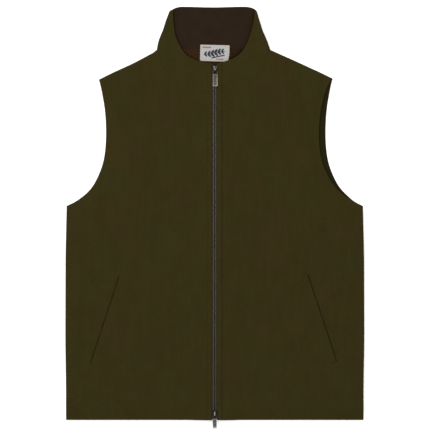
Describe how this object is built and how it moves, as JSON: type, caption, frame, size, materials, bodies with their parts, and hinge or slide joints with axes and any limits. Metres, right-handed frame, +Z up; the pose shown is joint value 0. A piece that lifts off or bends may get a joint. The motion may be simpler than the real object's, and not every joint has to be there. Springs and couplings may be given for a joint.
{
  "type": "zip gilet",
  "caption": "Sleeveless gilet with a funnel collar, two-way front zip, slanted welt pockets and a sherpa back lining, laid flat with its front up",
  "frame": {"origin": "on the surface that the gilet lies on, under the middle of its whole outline, the lower zip pull included", "axes": "+X to the wearer's left, which is the viewer's right; +Y from the hem to the collar; +Z up, out of the front"},
  "size_m": [0.56, 0.7923, 0.0133],
  "materials": {
    "outer_cloth": "dark olive brushed cloth, matt, slightly mottled",
    "sherpa": "curly warm brown sherpa pile",
    "collar_fleece": "smooth dark brown fleece",
    "label_weave": "off-white woven label",
    "zip_tape": "dark olive woven tape",
    "gunmetal": "worn gunmetal plating",
    "pull_metal": "brushed antique silver plating"
  },
  "bodies": {
    "garment": {"back_panel": "outer_cloth", "back_lining": "sherpa", "front_left": "outer_cloth", "front_right": "outer_cloth", "collar": "outer_cloth", "collar_lining": "collar_fleece", "neck_label": "label_weave", "pocket_welt_left": "outer_cloth", "pocket_welt_right": "outer_cloth", "zip_tape_left": "zip_tape", "zip_tape_right": "zip_tape", "zip_chain": "gunmetal", "zip_slider_top": "gunmetal", "zip_slider_bottom": "gunmetal"},
    "upper_pull": {"zip_pull_top": "pull_metal"},
    "lower_pull": {"zip_pull_bottom": "pull_metal"}
  },
  "joints": [
    {"name": "upper_pull_swing", "type": "hinge", "parent": "garment", "child": "upper_pull", "pos_m": [0, 0.2747, 0.0118], "axis": [-1, 0, 0], "range_deg": [0, 140]},
    {"name": "lower_pull_swing", "type": "hinge", "parent": "garment", "child": "lower_pull", "pos_m": [0, -0.3738, 0.0118], "axis": [-1, 0, 0], "range_deg": [0, 155]}
  ]
}
